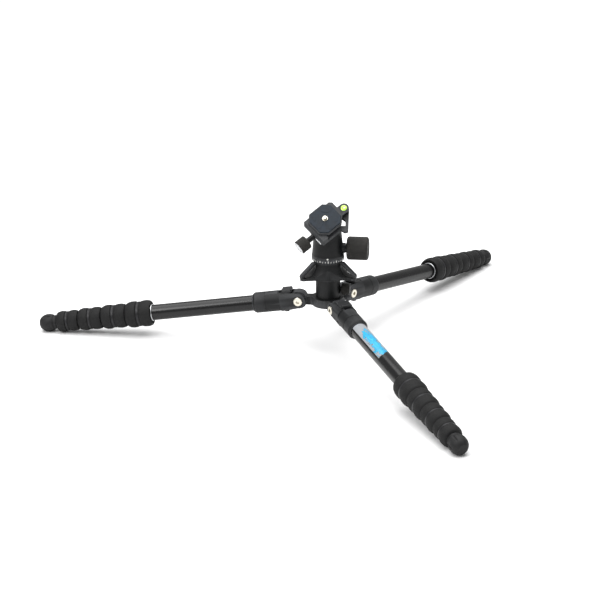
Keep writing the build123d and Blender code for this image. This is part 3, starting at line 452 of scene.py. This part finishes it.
def knob(name, place, radius, span, ribs, body, stands_for, chamfer=1.6, depth=0.35):
    """A ribbed grip with chamfered ends and a dished face."""
    low, high = span
    bevel, floor_at = radius - chamfer * 0.35, high - 0.9
    shape = [(low, 4.2), (low, radius - chamfer), (low + chamfer * 0.4, bevel), (low + chamfer, radius)]
    shape += [(low + chamfer + (high - low - 2 * chamfer) * k / 10, radius) for k in range(1, 10)]
    shape += [(high - chamfer, radius), (high - chamfer * 0.4, bevel), (high, radius - chamfer)]
    shape += [(high, radius * 0.76), (floor_at, radius * 0.72), (floor_at, 0.02)]
    made = lathe(shape, ribs * 6, ribs, depth, (low + chamfer * 0.9, high - chamfer * 0.9))
    return finish_mesh(name, *made, place, knob_rubber, body, slot="grip", stands_for=stands_for)


knob("main_knob_grip", MAIN_KNOB, 18.8, (31.3, 65.6), 60, "main_knob", ["main_knob"], 2.6, 0.4)
knob("clamp_knob_grip", CLAMP_KNOB, 11.5, (43.0, 60.8), 36, "clamp_knob", ["clamp_knob"], 1.4)
end_ring = [(60.1, 10.4), (60.85, 10.3), (61.0, 9.6), (61.0, 7.9), (60.4, 7.6), (60.0, 0.02)]
finish_mesh("clamp_knob_end_ring", *lathe(end_ring), CLAMP_KNOB, trim_mat, "clamp_knob", slot="bright_steel")
knob("pan_knob_grip", PAN_KNOB, 9.0, (29.0, 43.0), 30, "pan_knob", ["pan_knob"], 1.2, 0.3)
pan_stud = [(12.4, 0.02), (12.4, 2.5), (27.5, 2.5), (27.5, 4.5), (29.2, 4.5)]
finish_mesh("pan_knob_stud", *lathe(pan_stud, 32), PAN_KNOB, shaft_mat, "pan_knob", slot="dark_metal")
knob("column_knob_grip", COLUMN_KNOB, 9.5, (22.3, 35.5), 30, "column_knob", ["column_knob"], 1.2, 0.3)
column_stud = [(16.4, 0.02), (16.4, 3.0), (20.8, 3.0), (20.8, 4.5), (22.5, 4.5)]
finish_mesh("column_knob_stud", *lathe(column_stud, 32), COLUMN_KNOB, shaft_mat, "column_knob", slot="dark_metal")
column_cap = [(35.4, 7.0), (35.75, 6.6), (35.75, 0.02)]
finish_mesh("column_knob_cap", *lathe(column_cap, 48), COLUMN_KNOB, ring_mat, "column_knob", slot="ring_metal")

# %% [markdown]
# ## Pan scale
# Round the base of the head runs a grey ring with pale marks every ten degrees and a dot on the housing above
# it, to read how far the head has been turned. The marks are paint, so they stand only 0.06 mm proud.

# %% Index marks and dot
MARK_INNER, MARK_OUTER, MARK_FOOT = 26.28, 26.36, 82.6
verts, faces = [], []
for k in range(36):
    turn = math.radians(10 * k)
    half, top = (0.035 * 0.6, 86.1) if k % 3 == 0 else (0.022 * 0.6, 84.9)
    base = len(verts)
    for r, z in ((MARK_INNER, MARK_FOOT), (MARK_OUTER, MARK_FOOT), (MARK_OUTER, top), (MARK_INNER, top)):
        for s in (-half, half):
            verts.append((r * math.cos(turn + s), r * math.sin(turn + s), z))
    faces += [(base + 2, base + 3, base + 5, base + 4), (base, base + 1, base + 3, base + 2),
              (base + 4, base + 5, base + 7, base + 6), (base, base + 2, base + 4, base + 6),
              (base + 1, base + 3, base + 5, base + 7)]
finish_mesh("pan_scale_marks", verts, faces, Matrix.Identity(4), white_mat, "column", False, "ring_metal")
dot = [(25.95, 1.5), (26.12, 1.3), (26.15, 0.02)]
finish_mesh("pan_index_dot", *lathe(dot, 24), knob_axis(268, 88.9), white_mat, "head", slot="ring_metal")

# %% [markdown]
# ## Plate face
# The plate's rubber face has low raised shapes that stop the camera from turning: two fans below the screw and a
# pair of lips above it. They are plates with softened corners, 0.35 mm high.

# %% Raised shapes on the plate
lean = math.radians(45)


def square_on(points):
    """Turns an outline drawn level with the ground into the plate's own axes."""
    return [(x * math.cos(lean) - y * math.sin(lean), x * math.sin(lean) + y * math.cos(lean)) for x, y in points]


fan = [(2.0, -4.0), (7.0, -6.0), (13.5, -13.0), (10.0, -19.0), (5.5, -17.5), (2.5, -10.0)]
lip = [(-9.0, 13.5), (-4.5, 11.0), (4.5, 11.0), (9.0, 13.5), (7.0, 17.0), (-7.0, 17.0)]
side = [(15.5, -6.5), (19.5, -4.0), (20.5, 4.0), (18.0, 9.0), (15.0, 4.5)]
outlines = [fan, [(-x, y) for x, y in reversed(fan)], lip, side, [(-x, y) for x, y in reversed(side)]]
made = plates([square_on(rounded(o)) for o in outlines], 46.9, 47.35)
finish_mesh("plate_relief", *made, STEM, pad_rubber, "plate", slot="pad")
washer = [(46.95, 3.6), (47.5, 3.7), (47.5, 4.5), (46.95, 4.7)]
finish_mesh("camera_screw_ring", *lathe(washer, 48), STEM, nickel, "plate", slot="bright_steel")

# %% [markdown]
# ## Spirit level
# A small round vial of green-yellow fluid sits in the lug beside the fixed jaw. It is a clear disc with a bright
# fluid below, a ring drawn on the glass and a bubble. Real fluid over a lit base looks as if it glows, so it is
# given a little light of its own.

# %% Level fluid, rim and bubble
fluid, tree, shader, where = finish("green_level_fluid", Roughness=0.12, IOR=1.45, Coat_Weight=0.6)
tint = add(tree, "ShaderNodeTexNoise", {"Vector": where, "Scale": 1000 / 5, "Detail": 1.0})
colour = two_tone(tree, tint.outputs["Fac"], "9fd23a", "bdea55")
tree.links.new(colour, shader.inputs["Base Color"])
tree.links.new(colour, shader.inputs["Emission Color"])
shader.inputs["Emission Strength"].default_value = 0.35
VIAL = STEM @ Matrix.Translation(Vector((3.2, 35.6, 0)) * MM)
window = [(33.6, 0.02), (33.6, 4.85), (41.0, 4.85), (41.2, 4.5), (41.4, 3.0), (41.45, 0.02)]
finish_mesh("level_fluid", *lathe(window, 48), VIAL, fluid, "clamp", slot="vial", stands_for=["level_vial"])
mark = [(41.37, 2.6), (41.45, 2.55), (41.45, 2.25), (41.37, 2.2)]
finish_mesh("level_ring", *lathe(mark, 48), VIAL, nylon_mat, "clamp", slot="nylon")
bubble = [(41.43, 1.5), (41.6, 1.1), (41.65, 0.02)]
finish_mesh("level_bubble", *lathe(bubble, 24), VIAL @ Matrix.Translation((0.0006, 0.0008, 0)), white_mat, "clamp",
            slot="vial")

# %% [markdown]
# ## Bright edges of the clamp
# The moving jaw's lower outer edge is machined after coating and shows bare metal on both sides of the screw.

# %% Jaw edge strips
verts, faces = [], []
for s0, s1 in ((-18.0, -1.1), (11.1, 23.5)):
    base = len(verts)
    for p, n in ((-30.0, 29.4), (-30.25, 29.6), (-30.25, 34.4), (-30.0, 34.6)):
        verts += [(s0, p, n), (s1, p, n)]
    faces += [(base, base + 1, base + 3, base + 2), (base + 2, base + 3, base + 5, base + 4),
              (base + 4, base + 5, base + 7, base + 6), (base, base + 2, base + 4, base + 6),
              (base + 1, base + 3, base + 5, base + 7)]
finish_mesh("jaw_edge_strips", verts, faces, STEM, trim_mat, "clamp_jaw", False, "bright_steel")

# %% [markdown]
# ## Leg label
# The front leg carries a printed foil label on its upper side. The print here is an abstract splash of cyan with
# no lettering. The label is a thin skin wrapped on the tube with a ragged edge, and its colours are one noise
# pattern sliced at three levels: foil, dark outline and ink.

# %% Label print
foil, tree, shader, where = finish("printed_foil_label", Roughness=0.34, Metallic=0.0, IOR=1.5, Coat_Weight=0.3)
uv = add(tree, "ShaderNodeUVMap", uv_map="wrap").outputs["UV"]
blobs = add(tree, "ShaderNodeTexNoise", {"Vector": uv, "Scale": 7.0, "Detail": 2.0, "Distortion": 1.2})
parts = add(tree, "ShaderNodeSeparateXYZ", {"Vector": uv})
middle = add(tree, "ShaderNodeMath", {0: parts.outputs["Y"], 1: 0.56}, operation="SUBTRACT")
away = add(tree, "ShaderNodeMath", {0: middle.outputs[0]}, operation="ABSOLUTE")
ends = add(tree, "ShaderNodeMapRange", {"Value": parts.outputs["X"], "From Min": 0.1, "From Max": 0.34,
                                        "To Min": 0.45, "To Max": 0.0})
fade = add(tree, "ShaderNodeMath", {0: away.outputs[0], 1: ends.outputs["Result"]}, operation="ADD")
height = add(tree, "ShaderNodeMath", {0: blobs.outputs["Fac"], 1: fade.outputs[0]}, operation="SUBTRACT")
print_ramp = add(tree, "ShaderNodeValToRGB", {"Fac": height.outputs[0]})
ramp = print_ramp.color_ramp
ramp.interpolation = "CONSTANT"
ramp.elements[0].position, ramp.elements[0].color = 0.0, paint("96999d")
ramp.elements[1].position, ramp.elements[1].color = 0.2, paint("23262b")
for position, hexcode in ((0.235, "0c9fcb"), (0.4, "0a8cbc"), (0.47, "2cb2d2")):
    stop = ramp.elements.new(position)
    stop.color = paint(hexcode)
tree.links.new(print_ramp.outputs["Color"], shader.inputs["Base Color"])

# %% Label skin
verts, faces, wraps = [], [], []
ROWS, COLS = 60, 28
LABEL_R, LABEL_START, LABEL_LENGTH = 13.06, 76.5, 99.0
for i in range(ROWS + 1):
    u = i / ROWS
    ragged = 0.0 if u < 0.62 else 26.0 * (u - 0.62) / 0.38 + 7.0 * math.sin(u * 46.0)
    low, high = math.radians(-62.0 + max(0.0, ragged)), math.radians(60.0)
    if u > 0.9:
        low = low + (high - low) * (u - 0.9) / 0.1 * 0.5
    for j in range(COLS + 1):
        v = j / COLS
        a = low + (high - low) * v
        verts.append((LABEL_R * math.cos(a), LABEL_R * math.sin(a), LABEL_START + LABEL_LENGTH * u))
        wraps.append((u, (a + 1.08) / 2.13))
for i in range(ROWS):
    for j in range(COLS):
        a = i * (COLS + 1) + j
        faces.append((a, a + 1, a + COLS + 2, a + COLS + 1))
label = finish_mesh("leg_label", verts, faces, leg_axis("leg2"), foil, "leg2")
layer = label.data.uv_layers.new(name="wrap")
for loop in label.data.loops:
    layer.data[loop.index].uv = wraps[loop.vertex_index]
print("label faces:", len(label.data.polygons))

# %% [markdown]
# ## Studio
# The tripod stands on a seamless pale sheet in a white room. A broad ceiling light gives soft shadows and the long
# streaks on the tubes, a smaller key light from the upper left shapes the head, and the pale room fills the rest.
# The Standard view keeps white paper white and black metal black.

# %% Floor, light and camera
floor_mat, tree, shader, where = finish("pale_seamless_paper", Roughness=0.9, Base_Color=paint("f4f4f4"))
GROUND = -62.0 * MM
sweep = bpy.data.meshes.new("floor")
SPAN = 9
corners = [(-SPAN, -SPAN, GROUND), (SPAN, -SPAN, GROUND), (SPAN, SPAN, GROUND), (-SPAN, SPAN, GROUND)]
sweep.from_pydata(corners, [], [(0, 1, 2, 3)])
floor = bpy.data.objects.new("floor", sweep)
floor.data.materials.append(floor_mat)
bpy.context.collection.objects.link(floor)

world = bpy.data.worlds.new("white_room")
bpy.context.scene.world = world
world.use_nodes = True
world.node_tree.nodes["Background"].inputs["Color"].default_value = (1.0, 1.0, 1.0, 1.0)
world.node_tree.nodes["Background"].inputs["Strength"].default_value = 0.5


def softbox(name, at, aim, size, watts):
    data = bpy.data.lights.new(name, "AREA")
    data.shape, data.size, data.energy = "SQUARE", size, watts
    lamp = bpy.data.objects.new(name, data)
    lamp.location = at
    lamp.rotation_euler = (Vector(aim) - Vector(at)).to_track_quat("-Z", "Y").to_euler()
    bpy.context.collection.objects.link(lamp)


softbox("ceiling", (0, 0.5, 3.2), (0, 0.5, 0), 4.2, 185.0)
softbox("key", (-1.4, -1.2, 1.6), (0, 0, 0), 0.9, 22.0)
bpy.context.scene.view_settings.view_transform = "Standard"

camera = bpy.data.objects.new("camera", bpy.data.cameras.new("camera"))
bpy.context.collection.objects.link(camera)
bpy.context.scene.camera = camera
REACH, DIP, ROLL = 3000.0, math.radians(20.44), math.radians(-0.7)
ahead = Vector((0, math.cos(DIP), -math.sin(DIP)))
right = Vector((1, 0, 0))
up = right.cross(ahead)
level_right, level_up = right, up
right = math.cos(ROLL) * level_right + math.sin(ROLL) * level_up
up = -math.sin(ROLL) * level_right + math.cos(ROLL) * level_up
LOOK_AT = Vector((-45.74, 0, 73.25 - 62.0))
eye = (LOOK_AT - ahead * REACH) * MM
camera.matrix_world = Matrix.Translation(eye) @ Matrix((right, up, -ahead)).transposed().to_4x4()
camera.data.lens, camera.data.sensor_width = 110.9, 36.0
camera.data.clip_start, camera.data.clip_end = 0.1, 50.0
print("camera at", [round(v, 3) for v in eye])
